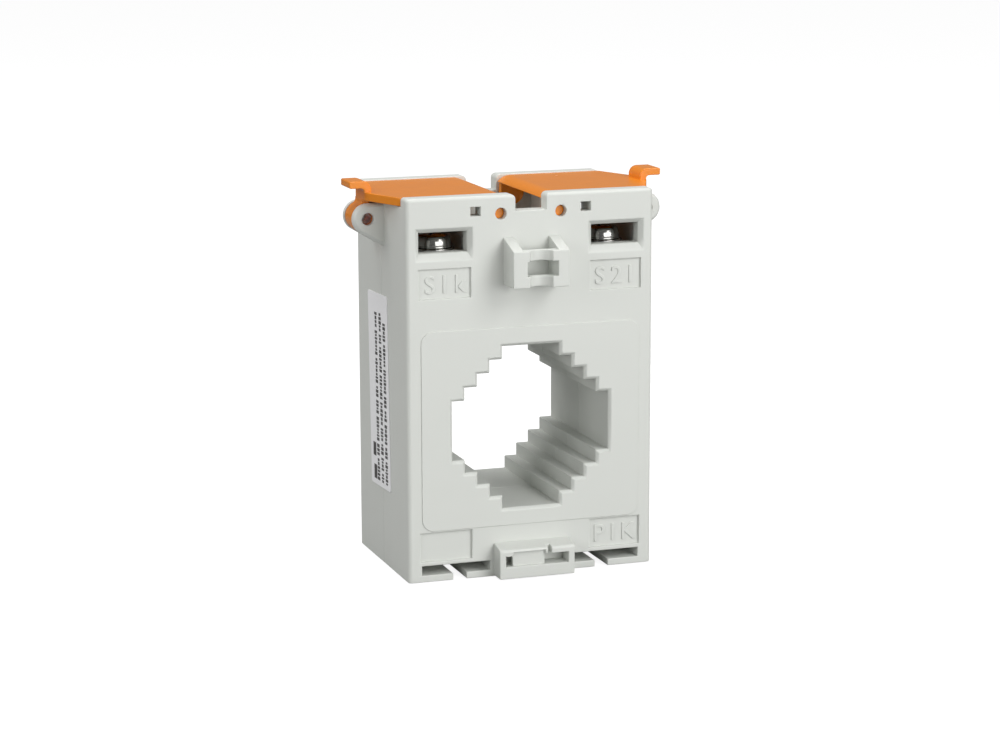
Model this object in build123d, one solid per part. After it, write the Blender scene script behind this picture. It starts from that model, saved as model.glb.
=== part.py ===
from build123d import *
import math
import os

# Busbar current transformer: two light grey half cases round a stepped busbar window, a wound
# ring core inside, and a terminal deck on top under two hinged orange lids.
# Millimetres, +Z up, X across the case, Y along the busbar. The front face looks to -Y.
# The origin is the middle of the underside. The busbar window and the wound core drive the rest:
# the case is as wide, deep and high as they need.

# Case
shell_wall = 2.2
terminal_wall = 4.2
corner_round = 1.0
top_round = 0.8
joint_bevel = 0.15
panel_side_margin = 3.5
panel_low_margin = 4.3
panel_high_margin = 4.7
panel_height = 0.25
panel_corner = 3.0

# Busbar window, a stack of bar sections, each one step wider and one step lower
window_small_half = 7.3
window_step = 3.2
window_steps = 4
window_bevel = 0.7
sleeve_wall = 1.5

# Slots for mounting feet in the underside
foot_slot_margin = 3.4
foot_slot_gap = 0.9
foot_lip = 1.7
foot_slot_height = 2.3
foot_mouth_offset = 6.15
foot_mouth_width = 3.35
floor_over_slot = 1.5
floor_pocket_half = 8.4

# Terminal deck and the chamber above it
terminal_depth = 14.8
deck_thickness = 2.0
side_wall_drop = 2.4
rib_gap = 1.3
rib_thickness = 1.4
rib_height = 4.0

# Wire windows in front of the terminal screws
wire_window_margin = 3.5
wire_window_width = 12.1
wire_window_rise = 0.3
wire_window_height = 4.9
wire_window_bevel = 1.1
wire_window_bevel_depth = 1.3
sill_drop = 1.9

# Small peep windows and the notch between the lids
peep_x = 14.05
peep_drop = 3.7
peep_width = 2.5
peep_height = 2.2
notch_half = 3.95
notch_depth = 4.0
notch_round = 1.2

# Recessed fields for the terminal marks
mark_margin = 3.1
mark_width = 13.1
mark_height = 7.2
mark_depth = 0.6
mark_top_drop = 9.55
mark_panel_gap = 0.4
mark_low_depth = 0.7

# Upper socket for a busbar fixing, above the window
upper_reach = 7.7
upper_half = 7.1
upper_drop = 6.9
upper_front_height = 8.9
upper_wall_height = 11.4
upper_cheek = 2.6
upper_bar = 3.4
upper_slot_left = 3.5
upper_slot_right = 4.3
upper_slot_sill = 2.7
upper_slot_height = 3.6
upper_groove_radius = 2.95
upper_groove_offset = 0.5

# Lower socket, under the window
lower_reach = 4.7
lower_half = 9.7
lower_bottom = 0.2
lower_front_height = 7.2
lower_wall_height = 8.2
lower_slot_half = 8.1
lower_slot_sill = 3.0
lower_slot_height = 2.6
lower_round = 0.8
lower_plate_left = 6.2
lower_plate_right = 2.1
lower_plate_set_back = 0.8
lower_plate_thickness = 1.2
lower_lip = 0.5
lower_notch_x = 3.2
lower_notch_width = 1.0
lower_notch_depth = 1.8

# Seal ears on both sides, a thin one and a thick one with the lid's tongue between them
ear_reach = 4.1
ear_drop = 6.9
ear_radius = 3.8
ear_hole_radius = 1.5
ear_root_length = 7.2
ear_root_sink = 0.5
ear_edge = 0.7
thin_ear = 1.5
thick_ear = 2.0
tongue_gap = 6.4
tongue_gap_offset = 1.5

# Lids
pin_x = 7.65
pin_drop = 4.5
pin_radius = 1.35
pin_clearance = 0.05
pin_recess = 1.8
lid_top_radius = 4.3
lid_plate = 1.3
lid_side_clearance = 0.2
lid_seat_clearance = 0.15
lid_corner_margin = 0.1
lid_corner_round = 2.0
lid_overhang = 5.1
lid_rim = 1.4
lid_cheek = 1.8
lid_curl_rise = 2.6
lid_rib = 1.0
lid_rib_spread = 11.0
tab_half = 3.9
tab_neck = 1.75
tab_height = 2.7
tab_arm = 1.75
tab_overhang = 8.8
tab_outer_round = 2.0
tab_inner_round = 0.8
tab_tip_round = 0.4
tongue_side_clearance = 0.2
tongue_radius = 3.6
tongue_fillet = 1.5

# Terminals
screw_margin = 9.8
screw_wall_gap = 0.2
screw_radius = 2.5
screw_length = 10.0
screw_tip_bevel = 0.5
screw_hole_clearance = 0.15
screw_way_clearance = 0.3
screw_head_radius = 4.5
screw_head_rim = 1.5
screw_head_height = 2.8
screw_recess_depth = 1.5
screw_recess_length = 5.2
screw_recess_width = 1.1
strip_thickness = 1.2
strip_width = 10.0
strip_corner = 1.0
strip_end_clearance = 0.3
clamp_washer_radius = 5.0
clamp_washer_thickness = 1.0
spring_washer_radius = 4.4
spring_washer_thickness = 1.2
spring_washer_gap = 14.0
nut_flats = 8.0
nut_height = 4.0
nut_clearance = 0.1
thread_clearance = 0.05
boss_radius = 6.2
boss_depth = 3.8

# Winding ends
lead_radius = 0.8
lead_hole_clearance = 0.3
lead_start_x = 1.3
lead_foot_gap = 0.2
lead_run_drop = 7.0
lead_bend = 3.0
lead_end_height = 0.6

# Wound core, from the sleeve outwards
ring_clearance = 0.3
winding_wall = 0.9
winding_turns = 72
winding_ridge = 0.25
winding_gap = 12.0
winding_half_length = 16.5
cap_wall = 0.6
cap_clearance = 0.05
cap_joint_half = 0.3
core_thickness = 2.0
core_clearance = 0.05
tape_thickness = 0.2
tape_half_length = 11.0
packing_thickness = 2.0
packing_clearance = 0.1
packing_play = 0.2
packing_margin = 0.4
winding_side_clearance = 0.28
winding_floor_clearance = 2.48
lead_room = 11.17

# Pegs that line the two half cases up
peg_margin = 5.5
peg_floor_offset = 5.0
peg_deck_offset = 14.7
peg_radius = 1.25
peg_length = 3.0
peg_clearance = 0.1
peg_boss_radius = 2.7

# Label on the left side
label_centre_y = 2.2
label_above_window = 6.5
label_tilt = 2.2
label_width = 16.4
label_height = 48.6
label_thickness = 0.2
label_corner = 0.8

# How far a cut runs past the solid, how deep joined shapes sink in, and what counts as the same place
past = 1.0
sunk = 0.1
same = 0.01

# Window, sleeve and wound core worked out, from the middle outwards
widest_half = window_small_half + window_step * window_steps
sleeve_radius = math.hypot(window_small_half + sleeve_wall, widest_half + sleeve_wall)
ring_inner_radius = sleeve_radius + ring_clearance
cap_inner_radius = ring_inner_radius + winding_wall + cap_clearance
core_inner_radius = cap_inner_radius + cap_wall + core_clearance
core_outer_radius = core_inner_radius + core_thickness
cap_outer_radius = core_outer_radius + core_clearance + cap_wall
ring_outer_radius = cap_outer_radius + cap_clearance + winding_wall
tape_radius = ring_outer_radius + tape_thickness
cap_half_length = winding_half_length - winding_wall - cap_clearance
core_half_length = cap_half_length - cap_wall - core_clearance

# Case worked out round the core
inner_half = tape_radius + winding_side_clearance
half_width = inner_half + shell_wall
core_bay_y = winding_half_length + packing_clearance + packing_thickness + packing_play
half_depth = core_bay_y + shell_wall
face_y = -half_depth
panel_y = face_y - panel_height
chamber_y = half_depth - terminal_wall
core_bay_floor = foot_lip + foot_slot_height + floor_over_slot
window_z = core_bay_floor + winding_floor_clearance + tape_radius
deck_bottom = window_z + tape_radius + lead_room
deck_top = deck_bottom + deck_thickness
case_height = deck_top + terminal_depth
side_wall_top = case_height - side_wall_drop
panel_half_width = half_width - panel_side_margin
panel_bottom = window_z - widest_half - panel_low_margin
panel_top = window_z + widest_half + panel_high_margin

# Sockets, slots and windows worked out
foot_slot_inner = lower_half + foot_slot_gap
foot_slot_outer = half_width - foot_slot_margin
foot_mouth_inner = foot_slot_inner + foot_mouth_offset
foot_mouth_outer = foot_mouth_inner + foot_mouth_width
strip_top = deck_top + strip_thickness
wire_window_outer = half_width - wire_window_margin
wire_window_inner = wire_window_outer - wire_window_width
wire_window_bottom = strip_top + wire_window_rise
wire_window_top = wire_window_bottom + wire_window_height
rib_inner = wire_window_inner - rib_gap - rib_thickness
peep_z = case_height - peep_drop
notch_bottom = case_height - notch_depth
mark_outer = half_width - mark_margin
mark_inner = mark_outer - mark_width
mark_top_z = deck_top - mark_top_drop
mark_low_z = panel_bottom - mark_panel_gap - mark_height
upper_bottom = deck_top - upper_drop
upper_front_top = upper_bottom + upper_front_height
upper_wall_top = upper_bottom + upper_wall_height
upper_slot_bottom = upper_bottom + upper_slot_sill
upper_slot_top = upper_slot_bottom + upper_slot_height
lower_front_top = lower_bottom + lower_front_height
lower_wall_top = lower_bottom + lower_wall_height
lower_slot_bottom = lower_bottom + lower_slot_sill
lower_slot_top = lower_slot_bottom + lower_slot_height
peg_x = half_width - peg_margin
peg_low_z = core_bay_floor + peg_floor_offset
peg_high_z = deck_bottom - peg_deck_offset
label_centre_z = window_z + label_above_window

# Ears and lids worked out
ear_x = half_width + ear_reach
ear_z = case_height - ear_drop
ear_root_bottom = ear_z - ear_root_length
pin_z = case_height - pin_drop
lid_top = pin_z + lid_top_radius
lid_bottom = side_wall_top + lid_seat_clearance
lid_half_length = chamber_y - lid_side_clearance
lid_corner_x = half_width - lid_corner_margin
lid_end_x = half_width + lid_overhang
lid_pocket_end_x = lid_end_x - lid_rim - tab_neck
tab_top = lid_top + tab_height
tab_tip_x = half_width + tab_overhang

# Terminals worked out
screw_x = half_width - screw_margin
screw_y = chamber_y - clamp_washer_radius - screw_wall_gap
clamp_washer_top = strip_top + clamp_washer_thickness
spring_washer_top = clamp_washer_top + spring_washer_thickness
lead_run_z = deck_bottom - lead_run_drop


def block(x0, x1, y0, y1, z0, z1):
    """Rectangular block between two opposite corners."""
    middle = Pos((x0 + x1) / 2, (y0 + y1) / 2, (z0 + z1) / 2)
    return middle * Box(abs(x1 - x0), abs(y1 - y0), abs(z1 - z0))


def field(x0, x1, z0, z1):
    """Rectangle in the X and Z directions, as a flat outline."""
    return Pos((x0 + x1) / 2, (z0 + z1) / 2) * Rectangle(abs(x1 - x0), abs(z1 - z0))


def along_y(outline, y0, y1):
    """Extrude a flat outline, drawn in X and Z, from y0 to y1."""
    return extrude(Plane.XZ.offset(-y0) * outline, amount=y1 - y0, dir=(0, 1, 0))


def rod_y(x, z, radius, y0, y1):
    """Round bar along Y."""
    return along_y(Pos(x, z) * Circle(radius), y0, y1)


def rod_z(x, y, radius, z0, z1):
    """Round bar along Z."""
    return Pos(x, y, z0) * Cylinder(radius, z1 - z0, align=(Align.CENTER, Align.CENTER, Align.MIN))


def turned(shape):
    """The same shape turned half round about the vertical axis."""
    return Rot(0, 0, 180) * shape


def window_outline(grow=0.0):
    """Stepped outline of the busbar window, each side moved outwards by grow."""
    outline = None
    for step in range(window_steps + 1):
        across = window_small_half + window_step * step + grow
        up = window_small_half + window_step * (window_steps - step) + grow
        bar = Pos(0, window_z) * Rectangle(2 * across, 2 * up)
        outline = bar if outline is None else outline + bar
    return outline


# Half case

def outer_block():
    """Half case before anything is cut, with its rounded front edges and bevelled joint."""
    body = block(-half_width, half_width, face_y, 0, 0, case_height)
    uprights = body.edges().filter_by(Axis.Z).group_by(Axis.Y)[0]
    body = fillet(uprights, corner_round)
    body = fillet(body.edges().group_by(Axis.Z)[-1].sort_by(Axis.Y)[0], top_round)
    joint = body.faces().sort_by(Axis.Y)[-1].edges()
    return chamfer(joint, joint_bevel)


def front_panel():
    """Low raised panel round the window."""
    outline = field(-panel_half_width, panel_half_width, panel_bottom, panel_top)
    outline = fillet(outline.vertices(), panel_corner)
    return along_y(outline, panel_y, face_y + sunk)


def core_bay():
    """Room for the wound core: everything below the deck but the window sleeve."""
    room = block(-inner_half, inner_half, -core_bay_y, past, core_bay_floor, deck_bottom)
    room += block(-floor_pocket_half, floor_pocket_half, -core_bay_y, past, shell_wall, core_bay_floor)
    return room - along_y(window_outline(sleeve_wall), face_y, past)


def terminal_chamber():
    """Room above the deck, with the side walls lowered under the lids."""
    above = case_height + past
    beside = half_width + past
    room = block(-inner_half, inner_half, -chamber_y, past, deck_top, above)
    return room + block(-beside, beside, -chamber_y, past, side_wall_top, above)


def window_cut():
    """Busbar window right through, with a bevelled mouth in the face."""
    through = along_y(window_outline(), face_y - past, past)
    mouth_outline = Plane.XZ.offset(-panel_y) * window_outline(window_bevel)
    return through + extrude(mouth_outline, amount=window_bevel, dir=(0, 1, 0), taper=45)


def foot_slot(side):
    """Undercut slot along the underside for a mounting foot."""
    cavity = block(side * foot_slot_inner, side * foot_slot_outer, face_y - past, past,
                   foot_lip, foot_lip + foot_slot_height)
    return cavity + block(side * foot_mouth_inner, side * foot_mouth_outer, face_y - past, past,
                          -past, foot_lip + sunk)


def wire_window(side):
    """Window in the terminal wall, with a bevelled mouth whose lower side is a steep sill."""
    x0 = side * wire_window_inner
    x1 = side * wire_window_outer
    hole = block(x0, x1, face_y - past, -chamber_y + past, wire_window_bottom, wire_window_top)
    mouth_field = field(x0 - side * wire_window_bevel, x1 + side * wire_window_bevel,
                        wire_window_bottom - sill_drop, wire_window_top + wire_window_bevel)
    hole_field = field(x0, x1, wire_window_bottom, wire_window_top)
    mouth_end = face_y + wire_window_bevel_depth
    mouth = loft([Plane.XZ.offset(-face_y) * mouth_field, Plane.XZ.offset(-mouth_end) * hole_field])
    return hole + mouth


def peep_window(side):
    """Small square window that shows the lid's hinge end."""
    return block(side * (peep_x - peep_width / 2), side * (peep_x + peep_width / 2), face_y - past,
                 -chamber_y + past, peep_z - peep_height / 2, peep_z + peep_height / 2)


def notch():
    """Gap in the wall top between the lids, with rounded upper corners."""
    above = case_height + past
    outline = field(-notch_half, notch_half, notch_bottom, above)
    round_z = case_height - notch_round
    for side in (-1, 1):
        round_x = side * (notch_half + notch_round)
        corner = field(side * (notch_half - sunk), round_x, round_z, above)
        outline += corner - Pos(round_x, round_z) * Circle(notch_round)
    return along_y(outline, face_y - past, -chamber_y + past)


def mark_fields():
    """Recesses in the front face for the terminal marks."""
    cut = None
    for side in (-1, 1):
        for low_z, depth in ((mark_top_z, mark_depth), (mark_low_z, mark_low_depth)):
            recess = block(side * mark_inner, side * mark_outer, face_y - past, face_y + depth,
                           low_z, low_z + mark_height)
            cut = recess if cut is None else cut + recess
    return cut


def upper_socket():
    """Open frame on the face: two cheeks joined by two bars, with a round groove down the bars."""
    front = face_y - upper_reach
    back = face_y + sunk
    cheek_line = Polyline((back, upper_bottom), (front, upper_bottom), (front, upper_front_top),
                          (face_y, upper_wall_top), (back, upper_wall_top), close=True)
    solid = extrude(Plane.YZ.offset(-upper_half) * make_face(cheek_line), amount=2 * upper_half)
    channel_half = upper_half - upper_cheek
    bar_back = front + upper_bar
    below = upper_bottom - past
    above = upper_wall_top + past
    solid -= block(-channel_half, channel_half, bar_back, face_y, below, above)
    solid -= block(-channel_half, channel_half, front - past, face_y, upper_front_top, above)
    solid -= block(-upper_slot_left, upper_slot_right, front - past, bar_back + past,
                   upper_slot_bottom, upper_slot_top)
    return solid - rod_z(0, front - upper_groove_offset, upper_groove_radius, below, above)


def lower_socket():
    """Low frame at the foot of the face: a wide slot, part closed by a plate, and a narrow notch."""
    front = face_y - lower_reach
    back = face_y + sunk
    side_line = Polyline((back, lower_bottom), (front, lower_bottom), (front, lower_front_top),
                         (face_y, lower_wall_top), (back, lower_wall_top), close=True)
    solid = extrude(Plane.YZ.offset(-lower_half) * make_face(side_line), amount=2 * lower_half)
    solid = fillet(solid.edges().filter_by(Axis.X).group_by(Axis.Z)[-2], lower_round)
    solid -= block(-lower_slot_half, lower_slot_half, front - past, face_y,
                   lower_slot_bottom, lower_slot_top)
    plate_y = front + lower_plate_set_back
    solid += block(-lower_plate_left, lower_plate_right, plate_y, plate_y + lower_plate_thickness,
                   lower_slot_bottom - sunk, lower_slot_top + sunk)
    solid -= block(-lower_plate_left, lower_plate_right, front - past, plate_y,
                   lower_slot_bottom, lower_front_top - lower_lip)
    notch_left = lower_notch_x - lower_notch_width / 2
    return solid - block(notch_left, notch_left + lower_notch_width, front - past,
                         front + lower_notch_depth, lower_slot_bottom, lower_wall_top + past)


def ear(side, y_outer, thickness):
    """Seal ear: a round lug that runs into the side wall, bevelled round its outward face."""
    disc = Pos(side * ear_x, ear_z) * Circle(ear_radius)
    root_x = side * (half_width - ear_root_sink)
    root = Line((root_x, ear_root_bottom), (root_x, ear_z + ear_radius))
    outline = make_hull(disc.edges() + [root])
    lug = along_y(outline, y_outer, y_outer + thickness)
    rim = [edge for edge in lug.edges()
           if abs(edge.center().Y - y_outer) < same and abs(edge.center().X) > half_width]
    lug = chamfer(rim, ear_edge)
    return lug - rod_y(side * ear_x, ear_z, ear_hole_radius, y_outer - past, y_outer + thickness + past)


def ears():
    """The thin ear on the left and the thick ear on the right of a front half."""
    thin_y = tongue_gap_offset - tongue_gap / 2 - thin_ear
    thick_y = -tongue_gap_offset - tongue_gap / 2 - thick_ear
    return ear(-1, thin_y, thin_ear) + ear(1, thick_y, thick_ear)


def nut_boss(side):
    """Boss under the deck that holds a terminal nut."""
    return rod_z(side * screw_x, -screw_y, boss_radius, deck_bottom - boss_depth, deck_bottom + sunk)


def nut_pocket(side):
    """Six-sided pocket for the nut, with a way through for the screw's end."""
    across_corners = (nut_flats / 2 + nut_clearance) / math.cos(math.pi / 6)
    hexagon = Pos(side * screw_x, -screw_y, deck_top - nut_height) * RegularPolygon(across_corners, 6)
    pocket = extrude(hexagon, amount=nut_height + past)
    below = deck_bottom - boss_depth - past
    return pocket + rod_z(side * screw_x, -screw_y, screw_radius + screw_way_clearance, below, deck_top)


def peg_boss(side, z):
    """Post in a corner of the core bay that carries a peg or its hole."""
    root_y = -core_bay_y - sunk
    post = rod_y(side * peg_x, z, peg_boss_radius, root_y, 0)
    return post + block(side * peg_x, side * (inner_half + sunk), root_y, 0,
                        z - peg_boss_radius / 2, z + peg_boss_radius / 2)


def half_case():
    """One half case. The rear half is the same moulding turned half round."""
    shell = outer_block() + front_panel()
    shell += ears()
    shell += upper_socket()
    shell += lower_socket()
    shell -= core_bay()
    shell -= terminal_chamber()
    for side in (-1, 1):
        shell += nut_boss(side)
        rib_x = side * rib_inner
        shell += block(rib_x, rib_x + side * rib_thickness, -chamber_y - sunk, 0,
                       deck_top - sunk, deck_top + rib_height)
        shell += peg_boss(side, peg_low_z)
        shell += peg_boss(side, peg_high_z)
    for side in (-1, 1):
        shell -= foot_slot(side)
        shell -= wire_window(side)
        shell -= nut_pocket(side)
        shell -= rod_z(side * screw_x, 0, lead_radius + lead_hole_clearance,
                       deck_bottom - past, deck_top + past)
        shell -= rod_y(side * pin_x, pin_z, pin_radius + pin_clearance, face_y - past, -chamber_y + past)
        shell -= peep_window(side)
    shell -= window_cut()
    shell -= notch()
    shell -= mark_fields()
    for z in (peg_low_z, peg_high_z):
        shell += rod_y(-peg_x, z, peg_radius, -sunk, peg_length)
        shell -= rod_y(peg_x, z, peg_radius + peg_clearance, -peg_length - peg_clearance, past)
    return shell


# Lids

def lid_plan():
    """Plan of a lid: straight along the walls, tapering out to the tab."""
    points = [(pin_x, -lid_half_length), (lid_corner_x, -lid_half_length), (lid_end_x, -tab_half),
              (lid_end_x, tab_half), (lid_corner_x, lid_half_length), (pin_x, lid_half_length)]
    outline = make_face(Polyline(*points, close=True))
    corners = [vertex for vertex in outline.vertices() if abs(vertex.X - lid_corner_x) < same]
    return fillet(corners, lid_corner_round)


def lid_pocket():
    """Hollow under the lid plate, inside its rim."""
    start_x = pin_x + lid_top_radius
    corner_x = lid_corner_x - lid_rim / 2
    half_length = lid_half_length - lid_rim
    points = [(start_x, -half_length), (corner_x, -half_length), (lid_pocket_end_x, -tab_half),
              (lid_pocket_end_x, tab_half), (corner_x, half_length), (start_x, half_length)]
    outline = Pos(0, 0, lid_bottom - past) * make_face(Polyline(*points, close=True))
    return extrude(outline, amount=lid_top - lid_plate - lid_bottom + past)


def lid_curl():
    """Inner end of a lid: the plate's rounded edge over the pin line."""
    curl = Pos(pin_x, pin_z) * (Circle(lid_top_radius) - Circle(lid_top_radius - lid_plate))
    keep = field(pin_x - lid_top_radius - past, pin_x, pin_z + lid_curl_rise, lid_top + past)
    return along_y(curl & keep, -lid_half_length, lid_half_length)


def lid_cheek_and_pin(end):
    """Disc that closes one end of the curl, and the pin that turns in the wall."""
    inner = end * (lid_half_length - lid_cheek)
    outer = end * lid_half_length
    disc = Pos(pin_x, pin_z) * Circle(lid_top_radius - lid_plate + sunk)
    lug = field(pin_x - lid_top_radius + lid_plate, pin_x + lid_top_radius, pin_z, lid_bottom + sunk)
    cheek = along_y(disc + lug, min(inner, outer), max(inner, outer))
    tip = end * (half_depth - pin_recess)
    return cheek + rod_y(pin_x, pin_z, pin_radius, min(inner, tip), max(inner, tip))


def lid_tab():
    """Thumb tab: a neck that rises from the lid's end and an arm that points outwards."""
    neck_x = lid_end_x - tab_neck
    profile = field(neck_x, lid_end_x, lid_bottom, tab_top)
    profile += field(neck_x, tab_tip_x, tab_top - tab_arm, tab_top)
    outer = [v for v in profile.vertices() if abs(v.X - neck_x) < same and abs(v.Y - tab_top) < same]
    profile = fillet(outer, tab_outer_round)
    inner = [v for v in profile.vertices() if abs(v.X - lid_end_x) < same and v.Y > lid_top]
    profile = fillet(inner, tab_inner_round)
    tip = [v for v in profile.vertices() if abs(v.X - tab_tip_x) < same]
    profile = fillet(tip, tab_tip_round)
    return along_y(profile, -tab_half, tab_half)


def lid_tongue():
    """Tongue that hangs from the lid's end between the ears, with the seal hole."""
    neck_x = lid_end_x - tab_neck
    profile = field(neck_x, lid_end_x, ear_z, lid_bottom + sunk)
    profile += Pos(ear_x, ear_z) * Circle(tongue_radius)
    crooks = [v for v in profile.vertices() if ear_z + ear_hole_radius < v.Y < lid_bottom]
    profile = fillet(crooks, tongue_fillet)
    profile -= Pos(ear_x, ear_z) * Circle(ear_hole_radius)
    half = tongue_gap / 2 - tongue_side_clearance
    return along_y(profile, -tongue_gap_offset - half, -tongue_gap_offset + half)


def lid():
    """Right-hand lid. The left one is the same moulding turned half round."""
    cover = extrude(Pos(0, 0, lid_bottom) * lid_plan(), amount=lid_top - lid_bottom)
    cover -= lid_pocket()
    for place in (-1, 1):
        rib_y = place * lid_rib_spread / 2
        cover += block(pin_x + lid_top_radius - sunk, lid_pocket_end_x, rib_y - lid_rib / 2,
                       rib_y + lid_rib / 2, lid_bottom, lid_top - lid_plate + sunk)
    tongue_side = tongue_gap / 2 - tongue_gap_offset - tongue_side_clearance
    cover -= block(lid_end_x - lid_rim, lid_end_x + past, tongue_side, tab_half,
                   lid_bottom - past, lid_top - lid_plate)
    cover += lid_curl()
    cover += lid_cheek_and_pin(-1)
    cover += lid_cheek_and_pin(1)
    cover += lid_tab()
    return cover + lid_tongue()


# Terminals

def terminal_strip(side):
    """Plated strip that joins the front and rear screw of one terminal."""
    half_length = chamber_y - strip_end_clearance
    x = side * screw_x
    strip = block(x - strip_width / 2, x + strip_width / 2, -half_length, half_length, deck_top, strip_top)
    strip = fillet(strip.edges().filter_by(Axis.Z), strip_corner)
    for y in (-screw_y, screw_y):
        strip -= rod_z(x, y, screw_radius + screw_hole_clearance, deck_top - past, strip_top + past)
    return strip - rod_z(x, 0, lead_radius + thread_clearance, deck_top - past, strip_top + past)


def terminal_screw(x, y):
    """Domed screw with a cross recess."""
    rise = screw_head_height - screw_head_rim
    dome_radius = (screw_head_radius ** 2 + rise ** 2) / (2 * rise)
    lean = math.asin(screw_head_radius / dome_radius) / 2
    crown = (dome_radius * math.sin(lean), screw_head_height - dome_radius * (1 - math.cos(lean)))
    dome = ThreePointArc((screw_head_radius, screw_head_rim), crown, (0, screw_head_height))
    rim = Polyline((0, screw_head_height), (0, 0), (screw_head_radius, 0),
                   (screw_head_radius, screw_head_rim))
    head = revolve(Plane.XZ * make_face([dome, rim]), axis=Axis.Z)
    for turn in (0, 90):
        slot = Rot(0, 0, 45 + turn) * Box(screw_recess_length, screw_recess_width, 2 * screw_recess_depth)
        head -= Pos(0, 0, screw_head_height) * slot
    shank = rod_z(0, 0, screw_radius, -screw_length, sunk)
    tip = shank.edges().group_by(Axis.Z)[0]
    shank = chamfer(tip, screw_tip_bevel)
    return Pos(x, y, spring_washer_top) * (head + shank)


def clamp_washer(x, y):
    """Flat washer that clamps the wire to the strip."""
    ring = rod_z(x, y, clamp_washer_radius, strip_top, clamp_washer_top)
    return ring - rod_z(x, y, screw_radius + screw_hole_clearance, strip_top - past, clamp_washer_top + past)


def spring_washer(x, y):
    """Split spring washer."""
    inner = screw_radius + screw_hole_clearance
    section = Pos((inner + spring_washer_radius) / 2, spring_washer_thickness / 2)
    section *= Rectangle(spring_washer_radius - inner, spring_washer_thickness)
    ring = revolve(Plane.XZ * section, axis=Axis.Z, revolution_arc=360 - spring_washer_gap)
    return Pos(x, y, clamp_washer_top) * ring


def terminal_nut(x, y):
    """Six-sided nut in the deck pocket."""
    hexagon = RegularPolygon(nut_flats / 2 / math.cos(math.pi / 6), 6)
    nut = extrude(hexagon - Circle(screw_radius + thread_clearance), amount=nut_height)
    return Pos(x, y, deck_top - nut_height) * nut


def lead(side):
    """Insulated winding end, up through the deck into the strip."""
    foot_z = window_z + cap_outer_radius + lead_foot_gap
    low_x = side * lead_start_x
    high_x = side * screw_x
    bend = side * lead_bend
    points = [(low_x, 0, foot_z), (low_x, 0, lead_run_z - lead_bend), (low_x + bend, 0, lead_run_z),
              (high_x - bend, 0, lead_run_z), (high_x, 0, lead_run_z + lead_bend),
              (high_x, 0, strip_top + lead_end_height)]
    start = Plane(origin=points[0], z_dir=(0, 0, 1))
    return sweep(start * Circle(lead_radius), path=Polyline(*points), transition=Transition.RIGHT)


# Wound core

def ring(inner, outer, y0, y1):
    """Plain ring round the window, along Y."""
    return along_y(Pos(0, window_z) * (Circle(outer) - Circle(inner)), y0, y1)


def core_cap(end):
    """Insulating channel ring over one half of the core."""
    y0 = end * cap_joint_half
    y1 = end * cap_half_length
    cap = ring(cap_inner_radius, cap_outer_radius, min(y0, y1), max(y0, y1))
    inside = end * (cap_half_length - cap_wall)
    hollow = ring(cap_inner_radius + cap_wall, cap_outer_radius - cap_wall,
                  min(0, inside), max(0, inside))
    return cap - hollow


def ridged_outline(radius):
    """Closed outline with a shallow ridge for each turn shown."""
    points = []
    for index in range(2 * winding_turns):
        angle = math.pi * index / winding_turns
        reach = radius - winding_ridge * (index % 2)
        points.append((reach * math.cos(angle), window_z + reach * math.sin(angle)))
    return make_face(Polyline(*points, close=True))


def lead_wedge():
    """Wedge at the top of the ring, left free for the winding's ends."""
    reach = 2 * ring_outer_radius
    spread = reach * math.tan(math.radians(winding_gap / 2))
    wedge = Polyline((0, window_z), (-spread, window_z + reach), (spread, window_z + reach), close=True)
    return along_y(make_face(wedge), -winding_half_length - past, winding_half_length + past)


def winding_tape():
    """Band of tape round the turns, open where the ends come out."""
    return ring(ring_outer_radius, tape_radius, -tape_half_length, tape_half_length) - lead_wedge()


def secondary_winding():
    """Copper turns round the capped core, left open at the top where the ends come out."""
    section = ridged_outline(ring_outer_radius) - Pos(0, window_z) * Circle(ring_inner_radius)
    coil = along_y(section, -winding_half_length, winding_half_length)
    room = cap_half_length + cap_clearance
    coil -= ring(cap_inner_radius - cap_clearance, cap_outer_radius + cap_clearance, -room, room)
    return coil - lead_wedge()


def packing_ring(end):
    """Soft ring between the winding and the case wall."""
    y0 = end * (winding_half_length + packing_clearance)
    y1 = y0 + end * packing_thickness
    inner = ring_inner_radius + packing_margin
    outer = ring_outer_radius - packing_margin
    return ring(inner, outer, min(y0, y1), max(y0, y1))


def rating_label():
    """Label on the left side wall, stuck on a little askew."""
    outline = RectangleRounded(label_width, label_height, label_corner)
    placed = Pos(label_centre_y, label_centre_z) * Rot(0, 0, -label_tilt) * outline
    return extrude(Plane.YZ.offset(-half_width - label_thickness) * placed, amount=label_thickness)


def terminals():
    """The strips, and the screw, washers and nut of each of the four terminals."""
    pieces = {}
    for name, side in (("s1", -1), ("s2", 1)):
        pieces[f"terminal_strip_{name}"] = terminal_strip(side)
        pieces[f"lead_{name}"] = lead(side)
        for place, end in (("front", -1), ("rear", 1)):
            spot = (side * screw_x, end * screw_y)
            pieces[f"terminal_screw_{name}_{place}"] = terminal_screw(*spot)
            pieces[f"spring_washer_{name}_{place}"] = spring_washer(*spot)
            pieces[f"clamp_washer_{name}_{place}"] = clamp_washer(*spot)
            pieces[f"terminal_nut_{name}_{place}"] = terminal_nut(*spot)
    return pieces


def wound_core():
    """The core and everything wrapped round it."""
    return {
        "core_ring": ring(core_inner_radius, core_outer_radius, -core_half_length, core_half_length),
        "core_cap_front": core_cap(-1),
        "core_cap_rear": core_cap(1),
        "secondary_winding": secondary_winding(),
        "winding_tape": winding_tape(),
        "packing_ring_front": packing_ring(-1),
        "packing_ring_rear": packing_ring(1),
    }


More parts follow.
